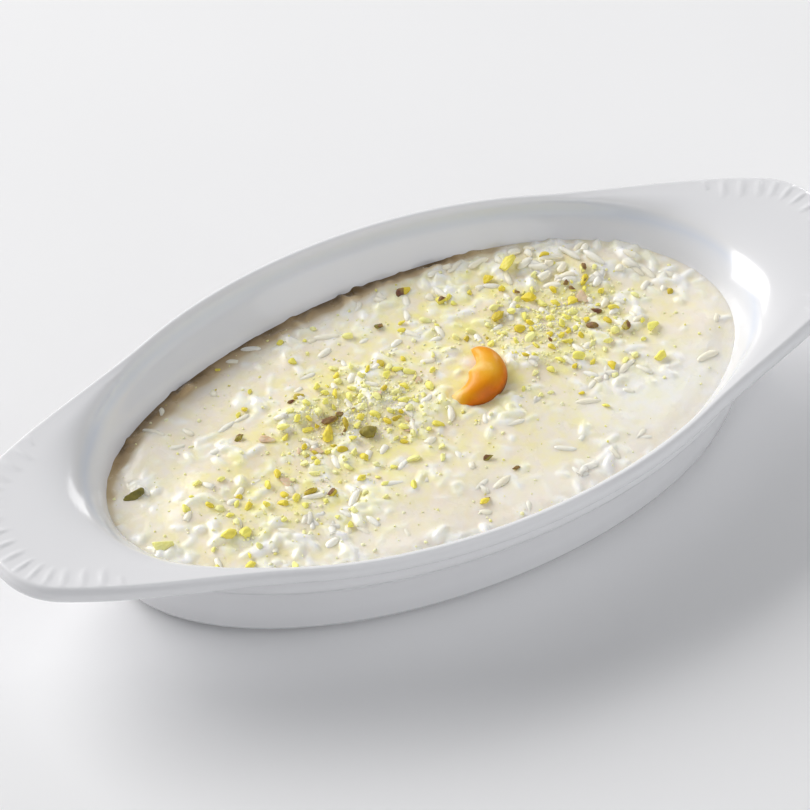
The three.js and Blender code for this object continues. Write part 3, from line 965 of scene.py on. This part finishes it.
def bell(rng):
    """A draw around 0 that stays within 2, like the part's own."""
    return (rng.uniform(0, 1, 3).sum() - 1.5) * 1.3


def pinched_place(rng):
    """A place where one of the pinches fell."""
    (x, y, spread_x, spread_y), _ = PINCHES[rng.choice(len(PINCHES), p=[share for _, share in PINCHES])]
    return x + spread_x * bell(rng), y + spread_y * bell(rng)


def nut_bit(rng, sphere, x, y, size, skin, turn, sunk):
    """One bit lying on the pudding, and how much of each of its points is skin."""
    points = chopped(rng, sphere)
    side = rng.normal(size=3)
    side /= np.linalg.norm(side)
    side[2] = abs(side[2])
    skinned = smoothstep(points @ side, 0.55 - 1.2 * skin, 0.7 - 1.2 * skin) * (skin > 0.02)
    points = points * (0.58, rng.uniform(0.3, 0.42), rng.uniform(0.24, 0.36)) * size
    points = turned(points, (rng.uniform(-0.5, 0.5), rng.uniform(-0.3, 0.3), turn))
    low, high = points[:, 2].min(), points[:, 2].max()
    level = pudding.level_at(x, y)
    return points + (x, y, level - low - sunk * (high - low)), skinned


def scatter_pistachio(count=250):
    """Chopped pistachio: the bits that stand out first, then smaller ones in pinches."""
    rng = np.random.default_rng(53)
    fine, coarse = ball(4), ball(3)
    parts, tones, skins, taken = [], [], [], []

    def add(x, y, size, tone, skin, turn, sphere):
        points, skinned = nut_bit(rng, sphere[0], x, y, size, skin, turn, rng.uniform(0.15, 0.4))
        parts.append((points, sphere[1]))
        tones.append(tone)
        skins.append(skinned)
        taken.append((x, y, size))

    for x, y, size, tone, skin, turn in NOTABLE:
        add(x, y, size, tone, skin, turn, fine)
    while len(parts) < count:
        x, y = pinched_place(rng)
        share = len(parts) / count
        size = 3.7 - 1.9 * share ** 0.8 + rng.uniform(-0.3, 0.3)
        tone = rng.beta(1.2, 2.7)
        skin = rng.uniform(0.2, 0.8) if rng.uniform() < 0.03 else 0.0
        turn = rng.uniform(0, 2 * math.pi)
        if not clear_of_wall(x, y, size / 2) or not clear_of_cashew(x, y, size / 2):
            continue
        if any(math.hypot(x - other[0], y - other[1]) < 0.45 * (size + other[2]) for other in taken):
            continue
        add(x, y, size, tone, skin, turn, coarse)
    points, faces, counts = joined(parts)
    make_piece(
        "pistachio_chopped", "kheer", "kheer", points, faces, chopped_pistachio(),
        tone=np.repeat(tones, counts), skin=np.concatenate(skins),
    )


def scatter_powder(count=2700):
    """Crumbs of about 0.3 to 1.3 mm, thick where the pinches fell and a few all over."""
    rng = np.random.default_rng(61)
    sphere, faces = ball(1)
    parts, tones = [], []
    while len(parts) < count:
        if rng.uniform() < 0.82:
            x, y = pinched_place(rng)
        else:
            (x,), (y,) = in_the_dish(rng, 1)
        size = 0.34 + 0.95 * rng.uniform() ** 2.2
        tone = rng.beta(1.2, 2.8)
        stretch = rng.uniform(0.6, 1.2, 3)
        angles = rng.uniform(0, 2 * math.pi, 3)
        jitter = rng.uniform(0.75, 1.15, len(sphere))
        if not clear_of_wall(x, y, size) or not clear_of_cashew(x, y, size / 2):
            continue
        points = turned(sphere * jitter[:, None] * stretch * size / 2, angles)
        level = pudding.level_at(x, y)
        parts.append((points + (x, y, level + 0.02 * size), faces))
        tones.append(tone)
    points, faces, counts = joined(parts)
    tone = np.repeat(tones, counts)
    make_piece("nut_powder", "kheer", "kheer", points, faces, nut_powder(), tone=tone)


def scatter_flakes(count=9):
    """Thin curved flakes of nut that was sliced rather than chopped."""
    rng = np.random.default_rng(71)
    sphere, faces = ball(4)
    parts = []
    while len(parts) < count:
        x, y = pinched_place(rng)
        size = rng.uniform(2.2, 4.6)
        if not clear_of_wall(x, y, size / 2) or not clear_of_cashew(x, y, size / 2):
            continue
        lobes = 1 + 0.16 * np.sin(3 * np.arctan2(sphere[:, 1], sphere[:, 0]) + rng.uniform(0, 6))
        points = sphere * (0.5, rng.uniform(0.26, 0.4), 0.07) * size * lobes[:, None]
        points[:, 2] += 0.05 * size * (points[:, 0] / size * 2) ** 2
        tilt_x, tilt_y = pudding.tilt_at(x, y)
        points = turned(points, (tilt_x + rng.uniform(-0.15, 0.15), tilt_y, 0))
        points = turned(points, (0, 0, rng.uniform(0, 6.28)))
        level = pudding.level_at(x, y)
        parts.append((points + (x, y, level + 0.25), faces))
    points, faces, _ = joined(parts)
    make_piece("nut_flakes", "kheer", "kheer", points, faces, nut_flake())


def make_cashew():
    """A bent half nut, fat in the middle, with soft creases; browned along its length, with painted shade
    making it darkest low on its outside and a painted highlight pale on the middle of its inside.
    """
    bend = CASHEW["bend"]
    along, around = 72, 56
    t = (np.arange(1, along) / along)[:, None]  # the share of the way from tip to tip
    turn = -np.arange(around)[None, :] * 2 * math.pi / around  # round the nut, from outside its bend

    swell = np.sin(math.pi * t) ** 0.52 * (1.06 - 0.22 * t)
    crease = 0.16 * np.exp(-(((turn + math.pi) / 0.35) ** 2)) * np.sin(math.pi * t)
    waves = 0.12 * np.sin(5 * t + 2 * np.cos(turn)) + 0.07 * np.sin(13 * t + 3 * np.sin(turn) + 1)
    radius = CASHEW["thick"] / 2 * swell * (1 - crease) + waves * swell
    inside = np.minimum(np.cos(turn), 0)
    out = bend + radius * (np.cos(turn) + CASHEW["fill"] * np.sin(math.pi * t) ** 2 * inside)
    up = radius * CASHEW["flat"] * np.sin(turn)
    angle = (t - 0.5) * CASHEW["sweep"]
    rings = np.stack([out * np.cos(angle), out * np.sin(angle), up], axis=-1)
    end = CASHEW["sweep"] / 2 * 1.03
    tips = [(bend * math.cos(side * end), bend * math.sin(side * end), 0) for side in (-1, 1)]
    points, faces = loft(rings, *tips)
    points = turned(points, (0.12, 0, CASHEW["turn"]))
    points = points + (CASHEW["x"], CASHEW["y"], LEVEL + CASHEW["lift"])

    # painted shade: darker on the outside of the bend and low down, which face away from the window
    outer = 0.5 + 0.5 * np.cos(turn)
    low = 0.5 - 0.5 * np.sin(turn)
    browned = smoothstep(t, 0.02, 0.2) * (1 - 0.35 * smoothstep(t, 0.35, 0.95))
    # painted highlight: pale on the middle of the bend's inside
    pale = np.exp(-(((t - 0.55) / 0.13) ** 2)) * (1 - outer)
    fried = np.clip(browned * (0.22 + 0.5 * outer + 0.55 * low) - 0.04 - 0.35 * pale, 0, 1)
    at_tip = [0.1]
    fried = np.concatenate([at_tip, fried.ravel(), at_tip])
    make_piece("cashew_fried", "cashew", "cashew", points, faces, fried_cashew(), fried=fried)


# ---- camera, light and floor ----

AZIMUTH = math.radians(28.54)  # of the camera, from -Y towards -X
ELEVATION = math.radians(47)
DISTANCE = 1.21  # metres from the camera to the middle of the dish
PIXELS = 810  # the photograph's width and height
FOCAL_PIXELS = 4629  # the focal length, in its pixels
MIDDLE_AT = (425.3, 461.6)  # the pixel at which the photograph shows the middle of the dish
MIDDLE_HEIGHT = 1.0  # of that middle over the table, in millimetres
SENSOR = 36.0
FAR = 20.0


def make_camera():
    """The photograph's camera, turned a little aside so that the dish lies where the photograph has it."""
    towards_camera = Vector((
        -math.sin(AZIMUTH) * math.cos(ELEVATION),
        -math.cos(AZIMUTH) * math.cos(ELEVATION),
        math.sin(ELEVATION),
    ))
    right = Vector((math.cos(AZIMUTH), -math.sin(AZIMUTH), 0))
    up = towards_camera.cross(right)
    middle = Vector((0, 0, MIDDLE_HEIGHT * MM))
    pixel = DISTANCE / FOCAL_PIXELS
    aside, below = (place - PIXELS / 2 for place in MIDDLE_AT)
    target = middle - right * aside * pixel + up * below * pixel
    data = bpy.data.cameras.new("camera")
    data.sensor_width = SENSOR
    data.lens = FOCAL_PIXELS / PIXELS * SENSOR
    data.clip_end = FAR
    camera = bpy.data.objects.new("camera", data)
    camera.location = middle + towards_camera * DISTANCE
    camera.rotation_mode = "QUATERNION"
    camera.rotation_quaternion = (target - camera.location).to_track_quat("-Z", "Y")
    bpy.context.scene.collection.objects.link(camera)
    bpy.context.scene.camera = camera


def area_light(name, azimuth, elevation, distance, size, watts, colour=(1, 1, 1)):
    """A soft light that looks at the dish, in degrees and metres; azimuth 0 is at +Y and 90 at -X."""
    a, e = math.radians(azimuth), math.radians(elevation)
    towards_light = Vector((-math.sin(a) * math.cos(e), math.cos(a) * math.cos(e), math.sin(e)))
    data = bpy.data.lights.new(name, "AREA")
    data.shape = "RECTANGLE"
    data.size, data.size_y = size
    data.energy = watts
    data.color = colour
    light = bpy.data.objects.new(name, data)
    light.location = distance * towards_light
    light.rotation_mode = "QUATERNION"
    light.rotation_quaternion = (-light.location).to_track_quat("-Z", "Y")
    bpy.context.scene.collection.objects.link(light)


def make_lights():
    """A large soft window behind, the bright room in front, and two weak lights aside."""
    area_light("window", 28, 30, 3.0, (2.4, 1.7), 112, (1.0, 0.99, 0.98))
    area_light("room", 188, 38, 3.0, (2.8, 3.6), 44.5, (0.98, 0.99, 1.0))
    area_light("side", -52, 20, 1.3, (0.25, 0.8), 2.6)
    area_light("fill", -118, 32, 3.0, (1.6, 1.6), 5)
    world = bpy.data.worlds.new("studio")
    world.use_nodes = True
    background = world.node_tree.nodes["Background"]
    background.inputs["Color"].default_value = (0.93, 0.95, 1.0, 1)
    background.inputs["Strength"].default_value = 0.13
    bpy.context.scene.world = world


def make_floor():
    """A plain pale floor."""
    s = Surface("floor", Specular_IOR_Level=0.2)
    s.set("Base Color", s.mix(s.noise(60, 2), srgb(236, 236, 237), srgb(240, 240, 241)))
    s.set("Roughness", s.spread(s.noise(25, 2), 0.3, 0.7, 0.55, 0.65))
    half = 4.0
    corners = [(-half, -half, 0), (half, -half, 0), (half, half, 0), (-half, half, 0)]
    mesh = bpy.data.meshes.new("floor")
    mesh.from_pydata(corners, [], [(0, 1, 2, 3)])
    mesh.materials.append(s.material)
    floor = bpy.data.objects.new("floor", mesh)
    bpy.context.scene.collection.objects.link(floor)


make_camera()
make_lights()
make_floor()
make_dish()
make_kheer()
scatter_rice()
scatter_pistachio()
scatter_powder()
scatter_flakes()
make_cashew()
bpy.context.scene.view_settings.view_transform = "Standard"
